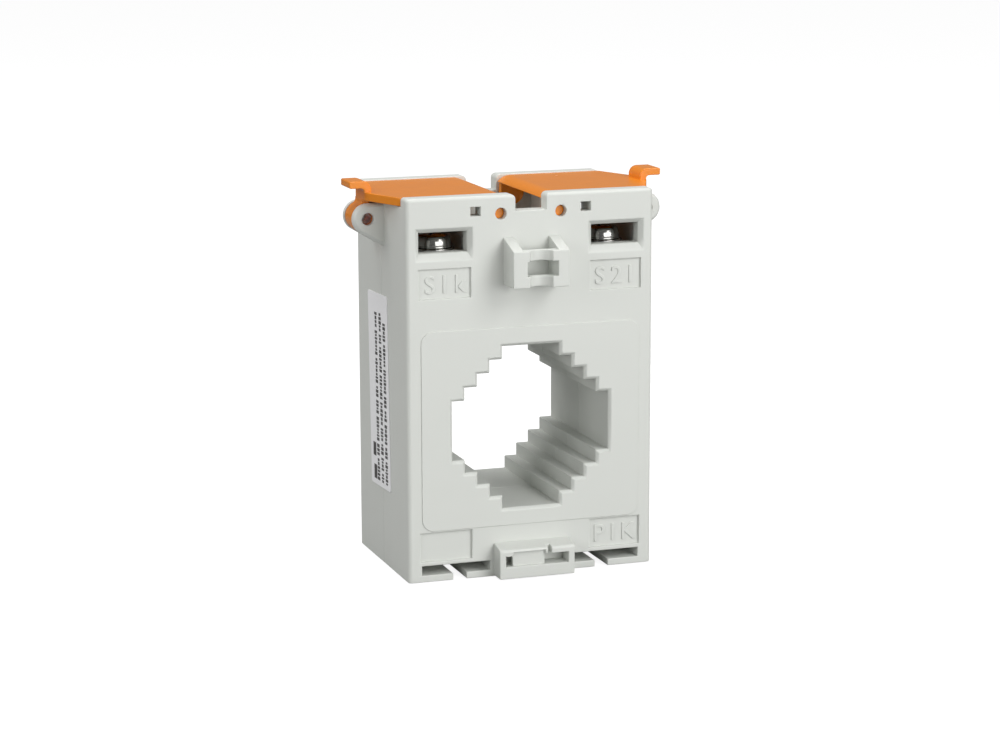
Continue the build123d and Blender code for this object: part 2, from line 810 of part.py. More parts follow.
def main():
    """Build every piece and write one STEP file for each."""
    os.makedirs("parts", exist_ok=True)
    shell = half_case()
    cover = lid()
    pieces = {
        "front_shell": shell,
        "rear_shell": turned(shell),
        "lid_s1": turned(cover),
        "lid_s2": cover,
        "rating_label": rating_label(),
    }
    pieces.update(terminals())
    pieces.update(wound_core())
    for name, piece in pieces.items():
        export_step(piece, f"parts/{name}.step")


main()
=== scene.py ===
import logging
import math
import random
from contextlib import contextmanager
from dataclasses import dataclass
from enum import Enum
from typing import Callable, Iterator, Sequence

import bmesh
import bpy
from mathutils import Matrix, Vector


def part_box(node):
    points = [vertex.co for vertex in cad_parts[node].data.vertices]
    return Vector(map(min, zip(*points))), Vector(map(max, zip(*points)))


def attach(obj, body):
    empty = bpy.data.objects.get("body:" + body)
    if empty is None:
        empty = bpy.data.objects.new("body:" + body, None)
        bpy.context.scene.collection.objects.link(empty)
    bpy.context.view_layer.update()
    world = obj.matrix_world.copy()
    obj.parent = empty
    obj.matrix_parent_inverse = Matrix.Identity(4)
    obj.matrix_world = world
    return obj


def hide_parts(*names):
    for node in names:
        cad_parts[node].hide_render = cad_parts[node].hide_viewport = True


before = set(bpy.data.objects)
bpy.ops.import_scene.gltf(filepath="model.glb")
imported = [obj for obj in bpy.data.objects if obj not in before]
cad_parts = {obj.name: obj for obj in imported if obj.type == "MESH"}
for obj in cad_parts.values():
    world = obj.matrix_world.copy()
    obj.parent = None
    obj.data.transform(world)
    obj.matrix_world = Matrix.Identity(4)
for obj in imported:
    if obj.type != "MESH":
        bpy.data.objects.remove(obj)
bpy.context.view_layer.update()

# Looks of a busbar current transformer: two grey half cases, two orange terminal lids, a label,
# plated terminals and the wound core. Lengths are millimetres unless a line says metres.

MM = 0.001
LOG = logging.getLogger("transformer")
Point = tuple[float, float, float]
Colour = tuple[float, float, float, float]
Piece = bpy.types.Object
Material = bpy.types.Material
Socket = bpy.types.NodeSocket
Tree = bpy.types.NodeTree
Edge = bmesh.types.BMEdge

# Edges bent more than EDGE_ANGLE are rounded where the faces beside them are at least EDGE_ROOM times
# as wide as the rounding. Bends over SHARP_ANGLE that are left stay sharp. Where no corner lies for
# more than CUT_GAP, the faces are parted. Flat faces bent less than FLAT_ANGLE become one. Points
# within SAME_POINT are one, and faces within SAME_LEVEL of a height lie on it.
EDGE_ANGLE = math.radians(32.0)
SHARP_ANGLE = math.radians(50.0)
FLAT_ANGLE = math.radians(0.4)
EDGE_ROOM = 1.6
CUT_GAP = 1.0
SAME_POINT = 0.0005
SAME_LEVEL = 0.001


# Shared shader effects

@dataclass
class Wiring:
    """Adds and joins shader nodes in one node tree.

    Attributes:
        tree: The node tree that the nodes go into.
    """

    tree: Tree

    def add(self, kind: str, settings: dict | None = None, inputs: dict | None = None) -> bpy.types.Node:
        """Add one node.

        Args:
            kind: Blender's name of the node type.
            settings: Values for the node's own properties.
            inputs: Values or sockets for the node's inputs, by input name or number.

        Returns:
            The new node.
        """
        node = self.tree.nodes.new(kind)
        for name, value in (settings or {}).items():
            setattr(node, name, value)
        for name, value in (inputs or {}).items():
            if isinstance(value, Socket):
                self.tree.links.new(value, node.inputs[name])
            else:
                node.inputs[name].default_value = value
        return node

    def join(self, source: Socket, target: Socket) -> None:
        """Link one socket to another."""
        self.tree.links.new(source, target)

    def maths(self, operation: str, first: object, second: object = 0.0) -> Socket:
        """Add a Math node of Blender's named operation and return its result socket."""
        return self.add("ShaderNodeMath", {"operation": operation}, {0: first, 1: second}).outputs[0]

    def noise(self, vector: Socket, scale: object, **more: float) -> Socket:
        """Add a noise texture and return its value socket."""
        return self.add("ShaderNodeTexNoise", None, {"Vector": vector, "Scale": scale, **more}).outputs["Fac"]

    def drift(self, noise: Socket, spread: Socket) -> Socket:
        """Turn a noise into a drift about nought, as wide as its spread on either side."""
        return self.maths("MULTIPLY", self.maths("SUBTRACT", noise, 0.5), self.maths("MULTIPLY", spread, 2.0))

    def distance(self, vector: Socket, second: str) -> tuple[bpy.types.NodeOutputs, Socket]:
        """Split coordinates and measure their distance from an axis.

        Args:
            vector: The coordinates.
            second: The direction that lies square to the axis beside X.

        Returns:
            The split sockets and the distance socket.
        """
        split = self.add("ShaderNodeSeparateXYZ", None, {"Vector": vector}).outputs
        squares = [self.maths("MULTIPLY", split[axis], split[axis]) for axis in ("X", second)]
        return split, self.maths("SQRT", self.maths("ADD", *squares))


class Effect(Enum):
    """Shared surface effects, each one a node group that is built once."""

    GRAIN = "moulded_grain"
    MOTTLE = "uneven_colour"
    SHEEN = "uneven_gloss"
    TURNED = "turned_lines"
    RINGS = "wound_layers"


class EffectLibrary:
    """Builds the shared node groups and hands them out."""

    def __init__(self) -> None:
        """Start with no groups built."""
        self.built: dict[Effect, Tree] = {}

    def group(self, effect: Effect) -> Tree:
        """Return the node group of an effect, and build it on the first call.

        Args:
            effect: The effect that is wanted.

        Returns:
            The node group.
        """
        if effect not in self.built:
            makers = {
                Effect.GRAIN: self._grain,
                Effect.MOTTLE: self._mottle,
                Effect.SHEEN: self._sheen,
                Effect.TURNED: self._turned,
                Effect.RINGS: self._rings,
            }
            self.built[effect] = makers[effect]()
        return self.built[effect]

    @staticmethod
    def _empty(effect: Effect, output: str,
               **inputs: float | Colour) -> tuple[Wiring, dict, Socket]:
        """Make a node group with its sockets.

        Args:
            effect: The effect, which names the group.
            output: Name of the output, a colour or else a number.
            inputs: Default value of each input beside the coordinates.

        Returns:
            The wiring, the input sockets by name and the output socket.
        """
        tree = bpy.data.node_groups.new(effect.value, "ShaderNodeTree")
        tree.interface.new_socket("Vector", in_out="INPUT", socket_type="NodeSocketVector")
        for label, default in inputs.items():
            kind = "NodeSocketFloat" if isinstance(default, float) else "NodeSocketColor"
            tree.interface.new_socket(label, in_out="INPUT", socket_type=kind).default_value = default
        kind = "NodeSocketColor" if output == "Colour" else "NodeSocketFloat"
        tree.interface.new_socket(output, in_out="OUTPUT", socket_type=kind)
        entry = tree.nodes.new("NodeGroupInput")
        leave = tree.nodes.new("NodeGroupOutput")
        return Wiring(tree), {s.name: s for s in entry.outputs if s.name}, leave.inputs[output]

    def _grain(self) -> Tree:
        """Fine sparked grain of a mould, with a slow waviness under it.

        Returns:
            The node group.
        """
        wiring, given, leave = self._empty(Effect.GRAIN, "Height", Scale=2500.0, Wave=0.4)
        fine = wiring.noise(given["Vector"], given["Scale"], Detail=2.0, Roughness=0.65)
        slow = wiring.noise(given["Vector"], 90.0, Detail=0.0)
        wiring.join(wiring.maths("ADD", fine, wiring.maths("MULTIPLY", slow, given["Wave"])), leave)
        return wiring.tree

    def _mottle(self) -> Tree:
        """Colour that drifts a little lighter and darker over the surface.

        Returns:
            The node group.
        """
        wiring, given, leave = self._empty(
            Effect.MOTTLE, "Colour", Colour=(1.0, 1.0, 1.0, 1.0), Spread=0.03, Scale=60.0)
        cloud = wiring.noise(given["Vector"], given["Scale"], Detail=2.0, Roughness=0.6)
        value = wiring.maths("ADD", wiring.drift(cloud, given["Spread"]), 1.0)
        tinted = wiring.add("ShaderNodeHueSaturation", None, {"Value": value, "Color": given["Colour"]})
        wiring.join(tinted.outputs["Color"], leave)
        return wiring.tree

    def _sheen(self) -> Tree:
        """Roughness with faint smears from handling.

        Returns:
            The node group.
        """
        wiring, given, leave = self._empty(Effect.SHEEN, "Roughness", Roughness=0.4, Spread=0.06)
        smear = wiring.noise(given["Vector"], 140.0, Detail=2.0, Roughness=0.7, Distortion=0.8)
        wiring.join(wiring.maths("ADD", given["Roughness"], wiring.drift(smear, given["Spread"])), leave)
        return wiring.tree

    def _turned(self) -> Tree:
        """Fine rings round a turned piece's own axis, from its own coordinates.

        Returns:
            The node group.
        """
        wiring, given, leave = self._empty(Effect.TURNED, "Height", Scale=9000.0)
        split, radius = wiring.distance(given["Vector"], "Y")
        place = wiring.add("ShaderNodeCombineXYZ", None, {"X": radius, "Z": split["Z"]})
        wiring.join(wiring.noise(place.outputs["Vector"], given["Scale"], Detail=2.0), leave)
        return wiring.tree

    def _rings(self) -> Tree:
        """Round layers or spokes about the window's axis.

        Returns:
            The node group.
        """
        wiring, given, leave = self._empty(Effect.RINGS, "Height", Layers=12000.0, Spokes=0.0)
        split, radius = wiring.distance(given["Vector"], "Z")
        angle = wiring.maths("ARCTAN2", split["Z"], split["X"])
        ring_wave = wiring.maths("SINE", wiring.maths("MULTIPLY", radius, given["Layers"]))
        spoke_wave = wiring.maths("SINE", wiring.maths("MULTIPLY", angle, given["Spokes"]))
        wiring.join(wiring.maths("ADD", ring_wave, spoke_wave), leave)
        return wiring.tree


EFFECTS = EffectLibrary()


# Finishes

class Grounds(Enum):
    """What a finish takes its pattern's coordinates from."""

    OBJECT = "Object"
    OWN = "own_place"


@dataclass
class Surface:
    """A material being wired: its tree, shader and pattern coordinates.

    Attributes:
        material: The material.
        wiring: The wiring of its node tree.
        shader: The Principled BSDF.
        vector: The socket with the pattern's coordinates.
    """

    material: Material
    wiring: Wiring
    shader: bpy.types.Node
    vector: Socket

    @classmethod
    def start(cls, name: str, grounds: Grounds = Grounds.OBJECT,
              centre: Point = (0.0, 0.0, 0.0)) -> "Surface":
        """Make a material with a shader and coordinates.

        Args:
            name: Name of the material.
            grounds: Where the pattern's coordinates come from.
            centre: Point that the pattern is centred on.

        Returns:
            The new surface.
        """
        material = bpy.data.materials.new(name)
        material.use_nodes = True
        wiring = Wiring(material.node_tree)
        shader = material.node_tree.nodes["Principled BSDF"]
        if grounds is Grounds.OWN:
            source = wiring.add("ShaderNodeAttribute", {"attribute_name": Grounds.OWN.value})
            return cls(material, wiring, shader, source.outputs["Vector"])
        source = wiring.add("ShaderNodeTexCoord")
        shift = wiring.add("ShaderNodeMapping", None, {
            "Vector": source.outputs["Object"], "Location": tuple(-value * MM for value in centre)})
        return cls(material, wiring, shader, shift.outputs["Vector"])

    def effect(self, effect: Effect, inputs: dict) -> Socket:
        """Place a shared effect.

        Args:
            effect: The effect.
            inputs: Its input values by name.

        Returns:
            The effect's output socket.
        """
        values = dict(inputs, Vector=self.vector)
        node = self.wiring.add("ShaderNodeGroup", {"node_tree": EFFECTS.group(effect)}, values)
        return node.outputs[0]

    def colour(self, colour: Colour, spread: float, scale: float) -> None:
        """Give the shader an uneven colour."""
        tint = self.effect(Effect.MOTTLE, {"Colour": colour, "Spread": spread, "Scale": scale})
        self.wiring.join(tint, self.shader.inputs["Base Color"])

    def gloss(self, roughness: float, spread: float) -> None:
        """Give the shader an uneven roughness."""
        rough = self.effect(Effect.SHEEN, {"Roughness": roughness, "Spread": spread})
        self.wiring.join(rough, self.shader.inputs["Roughness"])

    def relief(self, height: Socket, strength: float, depth: float) -> None:
        """Give the shader a bump from a height.

        Args:
            height: The height socket.
            strength: How strongly the bump shows, 0 to 1.
            depth: Depth of the relief.
        """
        bump = self.wiring.add("ShaderNodeBump", None, {
            "Strength": strength, "Distance": depth * MM, "Height": height})
        self.wiring.join(bump.outputs["Normal"], self.shader.inputs["Normal"])


@dataclass(frozen=True)
class Finish:
    """What every finish has.

    Attributes:
        name: Name of the material.
        colour: Base colour, linear.
        roughness: Mean roughness.
    """

    name: str
    colour: Colour
    roughness: float

    def coat(self, surface: Surface, spread: float, patches: float, smears: float) -> None:
        """Lay an uneven colour and gloss on a surface.

        Args:
            surface: The surface.
            spread: How far the colour drifts.
            patches: Colour patches for each metre.
            smears: How far the roughness drifts.
        """
        surface.colour(self.colour, spread, patches)
        surface.gloss(self.roughness, smears)


@dataclass(frozen=True)
class MouldedPlastic(Finish):
    """Moulded plastic with a fine mould grain.

    Attributes:
        spread: How far the colour drifts.
        grain: Grain cells for each metre.
        grain_depth: Depth of the grain.
    """

    spread: float = 0.015
    grain: float = 3500.0
    grain_depth: float = 0.012

    def material(self) -> Material:
        """Build the material.

        Returns:
            The material.
        """
        surface = Surface.start(self.name)
        self.coat(surface, self.spread, patches=55.0, smears=0.05)
        height = surface.effect(Effect.GRAIN, {"Scale": self.grain, "Wave": 0.5})
        surface.relief(height, strength=0.5, depth=self.grain_depth)
        surface.shader.inputs["IOR"].default_value = 1.5
        return surface.material


@dataclass(frozen=True)
class PlatedMetal(Finish):
    """Bright plated metal, with turned rings or a rolled grain.

    Attributes:
        grounds: Where the pattern's coordinates come from.
        lines: Fine lines for each metre.
    """

    grounds: Grounds = Grounds.OWN
    lines: float = 9000.0

    def material(self) -> Material:
        """Build the material.

        Returns:
            The material.
        """
        surface = Surface.start(self.name, self.grounds)
        self.coat(surface, spread=0.06, patches=400.0, smears=0.08)
        height = surface.effect(Effect.TURNED, {"Scale": self.lines})
        surface.relief(height, strength=0.25, depth=0.01)
        surface.shader.inputs["Metallic"].default_value = 1.0
        return surface.material


@dataclass(frozen=True)
class WoundMetal(Finish):
    """Metal wound round the window: core strip in layers or wire in spokes.

    Attributes:
        centre_z: Height of the window's axis.
        layers: Layer waves for each metre of radius.
        spokes: Waves round the ring.
        lacquer: Weight of the clear lacquer.
    """

    centre_z: float
    layers: float = 0.0
    spokes: float = 0.0
    lacquer: float = 0.0

    def material(self) -> Material:
        """Build the material.

        Returns:
            The material.
        """
        surface = Surface.start(self.name, Grounds.OBJECT, (0.0, 0.0, self.centre_z))
        self.coat(surface, spread=0.08, patches=250.0, smears=0.06)
        height = surface.effect(Effect.RINGS, {"Layers": self.layers, "Spokes": self.spokes})
        surface.relief(height, strength=0.5, depth=0.05)
        surface.shader.inputs["Metallic"].default_value = 1.0
        surface.shader.inputs["Coat Weight"].default_value = self.lacquer
        return surface.material


@dataclass(frozen=True)
class SoftSheet(Finish):
    """Paper, film, foam or ink: a non-metal with its own texture.

    Attributes:
        spread: How far the colour drifts.
        patches: Colour patches for each metre.
        grain: Grain cells for each metre.
        grain_depth: Depth of the grain.
    """

    spread: float
    patches: float
    grain: float
    grain_depth: float

    def material(self) -> Material:
        """Build the material.

        Returns:
            The material.
        """
        surface = Surface.start(self.name)
        self.coat(surface, self.spread, self.patches, smears=0.08)
        height = surface.effect(Effect.GRAIN, {"Scale": self.grain, "Wave": 0.2})
        surface.relief(height, strength=0.6, depth=self.grain_depth)
        return surface.material


# Bench work: copying, softening and placing pieces

class Combine(Enum):
    """How one piece is combined with another."""

    CUT = "DIFFERENCE"
    FUSE = "UNION"


class Bench:
    """Everyday modelling steps on one piece at a time."""

    @staticmethod
    def pick(piece: Piece) -> None:
        """Make a piece the only selected and active one.

        Args:
            piece: The piece.
        """
        bpy.ops.object.select_all(action="DESELECT")
        piece.select_set(True)
        bpy.context.view_layer.objects.active = piece

    @staticmethod
    def lay_out(name: str, data: bpy.types.ID) -> Piece:
        """Put a new object with its mesh, light or camera into the scene.

        Args:
            name: Name of the object.
            data: Its mesh, light or camera.

        Returns:
            The object.
        """
        thing = bpy.data.objects.new(name, data)
        bpy.context.scene.collection.objects.link(thing)
        return thing

    @staticmethod
    def primitive(add: Callable, **sizes: object) -> Piece:
        """Add a primitive with nothing else selected.

        Args:
            add: Blender's operator that adds it.
            sizes: The operator's settings.

        Returns:
            The new piece.
        """
        bpy.ops.object.select_all(action="DESELECT")
        add(**sizes)
        return bpy.context.object

    @staticmethod
    @contextmanager
    def editing(piece: Piece) -> Iterator[None]:
        """Open a piece for edits with all of it selected, and close it after them.

        Args:
            piece: The piece.

        Yields:
            Nothing, while the piece is open.
        """
        Bench.pick(piece)
        bpy.ops.object.mode_set(mode="EDIT")
        bpy.ops.mesh.select_all(action="SELECT")
        yield
        bpy.ops.object.mode_set(mode="OBJECT")

    @staticmethod
    def node_copy(node: str, name: str) -> Piece:
        """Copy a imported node's mesh and merge its loose triangles into whole faces.

        Args:
            node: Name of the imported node.
            name: Name of the new piece.

        Returns:
            The new piece.
        """
        piece = Bench.lay_out(name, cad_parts[node].data.copy())
        Bench.pick(piece)
        bpy.ops.mesh.customdata_custom_splitnormals_clear()
        with Bench.editing(piece):
            bpy.ops.mesh.remove_doubles(threshold=SAME_POINT * MM)
            bpy.ops.mesh.dissolve_limited(angle_limit=FLAT_ANGLE)
        piece.data.materials.clear()
        return piece

    @staticmethod
    def fuse(pieces: Sequence[Piece]) -> Piece:
        """Take pieces into the first one as they are.

        Args:
            pieces: The pieces.

        Returns:
            The first piece, which holds them all.
        """
        Bench.pick(pieces[0])
        for piece in pieces[1:]:
            piece.select_set(True)
        bpy.ops.object.join()
        return pieces[0]

    @staticmethod
    def modify(piece: Piece, kind: str, **settings: object) -> None:
        """Give the picked piece a modifier and apply it.

        Args:
            piece: The picked piece.
            kind: Blender's name of the modifier's kind.
            settings: The modifier's settings.
        """
        step = piece.modifiers.new(kind.lower(), kind)
        for name, value in settings.items():
            setattr(step, name, value)
        bpy.ops.object.modifier_apply(modifier=step.name)

    @staticmethod
    def combine(piece: Piece, other: Piece, how: Combine) -> None:
        """Cut another piece out of a piece, or fuse it on, and clear the other away.

        Args:
            piece: The piece that stays.
            other: The other piece.
            how: How they are combined.
        """
        Bench.pick(piece)
        Bench.modify(piece, "BOOLEAN", operation=how.value, object=other, solver="EXACT")
        bpy.data.objects.remove(other)

    @staticmethod
    def select_level(piece: Piece, height: float, before_y: float = math.inf) -> None:
        """Select the faces that lie flat at a height, in edit mode.

        Args:
            piece: The piece in edit mode.
            height: The height.
            before_y: Faces whose middle lies past this Y, in metres, are left out.
        """
        mesh = bmesh.from_edit_mesh(piece.data)
        for face in mesh.faces:
            middle = face.calc_center_median()
            level = abs(middle.z - height * MM) < SAME_LEVEL * MM and middle.y < before_y
            face.select = level and abs(face.normal.z) > 0.99
        bmesh.update_edit_mesh(piece.data)

    @staticmethod
    def soften(piece: Piece, width: float,
               own_width: Callable[[Edge], float] | None = None) -> None:
        """Round the outward edges of a piece a little and settle its shading.

        Args:
            piece: The piece.
            width: Width of the rounding.
            own_width: Gives each edge's width, where they differ.
        """
        Bench.pick(piece)
        bpy.ops.object.shade_smooth()
        Bench._part_faces(piece)
        mesh = bmesh.new()
        mesh.from_mesh(piece.data)
        weight = mesh.edges.layers.float.new("bevel_weight_edge")
        widest = width
        for edge in mesh.edges:
            if not edge.is_manifold or abs(edge.calc_face_angle_signed()) < EDGE_ANGLE:
                continue
            size = own_width(edge) if own_width else width
            narrow = min(Bench._reach(face, edge) for face in edge.link_faces) < EDGE_ROOM * size * MM
            outward = edge.calc_face_angle_signed() > 0.0
            edge.smooth = outward and not narrow
            edge[weight] = size if edge.smooth else 0.0
            widest = max(widest, edge[weight])
        for edge in mesh.edges:
            edge[weight] /= widest
        mesh.to_mesh(piece.data)
        mesh.free()
        Bench.modify(piece, "BEVEL", width=widest * MM, segments=3, limit_method="WEIGHT",
                     use_clamp_overlap=False, miter_outer="MITER_ARC")
        Bench._mark_sharp(piece)
        Bench.modify(piece, "WEIGHTED_NORMAL", keep_sharp=True)

    @staticmethod
    def _part_faces(piece: Piece) -> None:
        """Part the large faces along planes that keep well away from every corner.

        Args:
            piece: The piece.
        """
        cuts: list[tuple[Point, Point]] = []
        for axis in range(3):
            levels = sorted({round(vertex.co[axis] / MM, 2) for vertex in piece.data.vertices})
            along = tuple(1.0 if index == axis else 0.0 for index in range(3))
            for low, high in zip(levels, levels[1:]):
                if high - low > CUT_GAP:
                    middle = (low + high) / 2 * MM
                    cuts.append((tuple(middle * part for part in along), along))
        with Bench.editing(piece):
            for place, along in cuts:
                bpy.ops.mesh.select_all(action="SELECT")
                bpy.ops.mesh.bisect(plane_co=place, plane_no=along, threshold=SAME_LEVEL * MM)

    @staticmethod
    def _reach(face: bmesh.types.BMFace, edge: Edge) -> float:
        """Measure how far a face reaches from one of its edges.

        Args:
            face: The face.
            edge: One of its edges.

        Returns:
            The reach, in metres.
        """
        start = edge.verts[0].co
        along = (edge.verts[1].co - start).normalized()
        offsets = [vertex.co - start for vertex in face.verts]
        return max((offset - along * offset.dot(along)).length for offset in offsets)

    @staticmethod
    def _mark_sharp(piece: Piece) -> None:
        """Mark the edges that stay sharp after the rounding.

        Args:
            piece: The piece.
        """
        mesh = bmesh.new()
        mesh.from_mesh(piece.data)
        for edge in mesh.edges:
            if edge.is_manifold and abs(edge.calc_face_angle_signed()) > SHARP_ANGLE:
                edge.smooth = False
        mesh.to_mesh(piece.data)
        mesh.free()

    @staticmethod
    def remember_place(piece: Piece, centre: Vector) -> None:
        """Store each point's place about a centre, for patterns that belong to the piece.

        Args:
            piece: The piece.
            centre: Centre in metres.
        """
        attribute = piece.data.attributes.new(Grounds.OWN.value, "FLOAT_VECTOR", "POINT")
        for index, vertex in enumerate(piece.data.vertices):
            attribute.data[index].vector = vertex.co - centre

    @staticmethod
    def dress(piece: Piece, material: Material, body: str, slot: str,
              replaces: Sequence[str] = ()) -> None:
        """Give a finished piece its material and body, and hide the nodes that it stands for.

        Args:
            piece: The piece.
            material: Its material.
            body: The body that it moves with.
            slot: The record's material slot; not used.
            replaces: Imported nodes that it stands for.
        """
        piece.data.materials.clear()
        piece.data.materials.append(material)
        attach(piece, body)
        if replaces:
            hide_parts(*replaces)
        LOG.info("%s: %d faces, rides on %s", piece.name, len(piece.data.polygons), body)


def box_of(node: str) -> tuple[Vector, Vector]:
    """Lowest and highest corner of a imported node, in millimetres."""
    low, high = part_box(node)
    return Vector(low) / MM, Vector(high) / MM


# Case, lids and strips

@dataclass
class SoftCopy:
    """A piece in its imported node's form, with rounded edges.

    Attributes:
        node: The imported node.
        name: Name of the dressed piece.
        edge: Edge rounding.
        body: The body that it moves with.
        slot: The record's material slot.
    """

    node: str
    name: str
    edge: float = 0.2
    body: str = "case"
    slot: str = "shell_grey"

    def build(self, material: Material) -> None:
        """Make the piece and dress it.

        Args:
            material: Its material.
        """
        piece = Bench.node_copy(self.node, self.name)
        Bench.soften(piece, self.edge, self.own_width)
        Bench.dress(piece, material, self.body, self.slot, [self.node])

    def own_width(self, edge: Edge) -> float:
        """Width of one edge's rounding."""
        return self.edge


@dataclass
class CaseHalf(SoftCopy):
    """One moulded half case.

    Attributes:
        half_width: Half width of the case.
        half_depth: Half depth of the case without its raised panel.
        corner_edge: Rounding of the upright corners.
        panel_edge: Rounding of the raised panel's outline.
    """

    edge: float = 0.22
    half_width: float = 31.5
    half_depth: float = 21.0
    corner_edge: float = 0.7
    panel_edge: float = 0.15

    def own_width(self, edge: Edge) -> float:
        """Width of one edge's rounding, wider at the upright corners and narrower round the panel.

        Args:
            edge: The edge.

        Returns:
            The width.
        """
        across = [abs(vertex.co.x) / MM for vertex in edge.verts]
        along = [abs(vertex.co.y) / MM for vertex in edge.verts]
        on_side = max(abs(value - self.half_width) for value in across) < 0.01
        if on_side and max(abs(value - self.half_depth) for value in along) < 0.01:
            return self.corner_edge
        before_face = min(along) > self.half_depth + 0.1 and max(along) < self.half_depth + 0.8
        return self.panel_edge if before_face else self.edge


@dataclass
class Lid(SoftCopy):
    """One orange terminal lid, which moves with its own body."""

    slot: str = "lid_orange"


@dataclass
class TerminalStrip(SoftCopy):
    """One plated strip that joins two screws."""

    edge: float = 0.15
    slot: str = "plated_strip"


class Face(Enum):
    """The two faces of the case, as the sign of their Y."""

    FRONT = -1
    REAR = 1


@dataclass
class ChamberScreens:
    """Uprights between the middle well and the screw chambers, one of each half case on either side.

    Attributes:
        inner_x: Distance of an upright's inner face from the middle.
        thickness: Thickness at its foot.
        foot_z: Height of its foot, on the case's low rib.
        top_z: Height of its top, under the lids.
        step_z: Height of its end beside the peep window.
        reach: Length from the joint of the two half cases to the chamber's wall.
        step_length: Length of the low end.
        draft: Share of the thickness that is left at the top.
        edge: Edge rounding.
    """

    inner_x: float
    thickness: float
    foot_z: float
    top_z: float
    step_z: float
    reach: float
    step_length: float = 3.5
    draft: float = 0.8
    edge: float = 0.2

    def build(self, plastic: Material) -> None:
        """Make the four uprights.

        Args:
            plastic: The grey plastic.
        """
        pattern = self._upright()
        middle_x = self.inner_x + self.thickness / 2
        for side, sign in (("s1", -1), ("s2", 1)):
            for face in Face:
                piece = Bench.lay_out(f"screen_{side}_{face.name.lower()}", pattern.data.copy())
                place = Matrix.Translation((sign * middle_x * MM, 0.0, self.foot_z * MM))
                turn = Matrix.Rotation(0.0 if face is Face.REAR else math.pi, 4, "Z")
                piece.data.transform(place @ turn)
                piece.data.update()
                Bench.dress(piece, plastic, "case", "shell_grey")
        bpy.data.objects.remove(pattern)

    def _upright(self) -> Piece:
        """Model the rear upright on the origin: a low block whose long part is drawn up and thinned.

        Returns:
            The upright.
        """
        step = self.step_z - self.foot_z
        rise = self.top_z - self.step_z
        bend = (self.reach - self.step_length) * MM
        upright = Bench.primitive(
            bpy.ops.mesh.primitive_cube_add, size=1.0, location=(0.0, self.reach / 2 * MM, step / 2 * MM),
            scale=(self.thickness * MM, self.reach * MM, step * MM))
        bpy.ops.object.transform_apply(location=True, rotation=False, scale=True)
        with Bench.editing(upright):
            bpy.ops.mesh.bisect(plane_co=(0.0, bend, 0.0), plane_no=(0.0, 1.0, 0.0))
            Bench.select_level(upright, step, before_y=bend)
            bpy.ops.mesh.extrude_region_move(TRANSFORM_OT_translate={"value": (0.0, 0.0, rise * MM)})
            bpy.ops.transform.resize(value=(self.draft, 1.0, 1.0), center_override=(0.0, 0.0, 0.0))
        Bench.soften(upright, self.edge)
        return upright


@dataclass
class TerminalMark:
    """Raised terminal mark in a recess, with its characters spread over the field.

    Attributes:
        name: Name of the piece.
        characters: The characters and the share of the field's width where each one stands.
        face: The face of the case.
        field_left: Left end of the field as seen from outside.
        field_width: Width of the field.
        base: Height of the characters' foot.
        recess: Depth of the field below the face.
        height: Height of the characters.
        capital: Height of a capital in text of size one.
        relief: How far the characters stand up.
        edge: Rounding of their edges.
        thinning: How much is taken off each side of a stroke.
    """

    name: str
    characters: Sequence[tuple[str, float]]
    face: Face
    field_left: float
    field_width: float
    base: float
    recess: float
    height: float = 4.3
    capital: float = 0.7
    relief: float = 0.17
    edge: float = 0.08
    thinning: float = 0.04

    def build(self, plastic: Material, face_y: float) -> None:
        """Make the raised characters.

        Args:
            plastic: The grey plastic.
            face_y: Distance of the case's face from the middle.
        """
        piece = Bench.fuse([self._character(sign, share) for sign, share in self.characters])
        piece.name = self.name
        upright = Matrix.Rotation(math.radians(90.0), 4, "X")
        turn = Matrix.Rotation(0.0 if self.face is Face.FRONT else math.pi, 4, "Z")
        floor_y = (face_y - self.recess) * MM
        stand = Matrix.Translation((self.field_left * MM, -floor_y, self.base * MM))
        piece.data.transform(turn @ stand @ upright)
        piece.data.update()
        Bench.dress(piece, plastic, "case", "shell_grey")

    def _character(self, sign: str, share: float) -> Piece:
        """Make one character lying flat, as a mesh.

        Args:
            sign: The character.
            share: Where its middle stands along the field, 0 to 1.

        Returns:
            The character.
        """
        text = Bench.primitive(bpy.ops.object.text_add, location=(0.0, 0.0, 0.0))
        text.data.body = sign
        text.data.align_x = "CENTER"
        text.data.size = self.height * MM / self.capital
        text.data.extrude = self.relief * MM / 2
        text.data.bevel_depth = self.edge * MM
        text.data.bevel_resolution = 2
        text.data.offset = -self.thinning * MM
        text.data.resolution_u = 6
        Bench.pick(text)
        bpy.ops.object.convert(target="MESH")
        part = bpy.context.object
        lift = self.relief * MM / 2
        part.data.transform(Matrix.Translation((share * self.field_width * MM, 0.0, lift)))
        return part


# Label

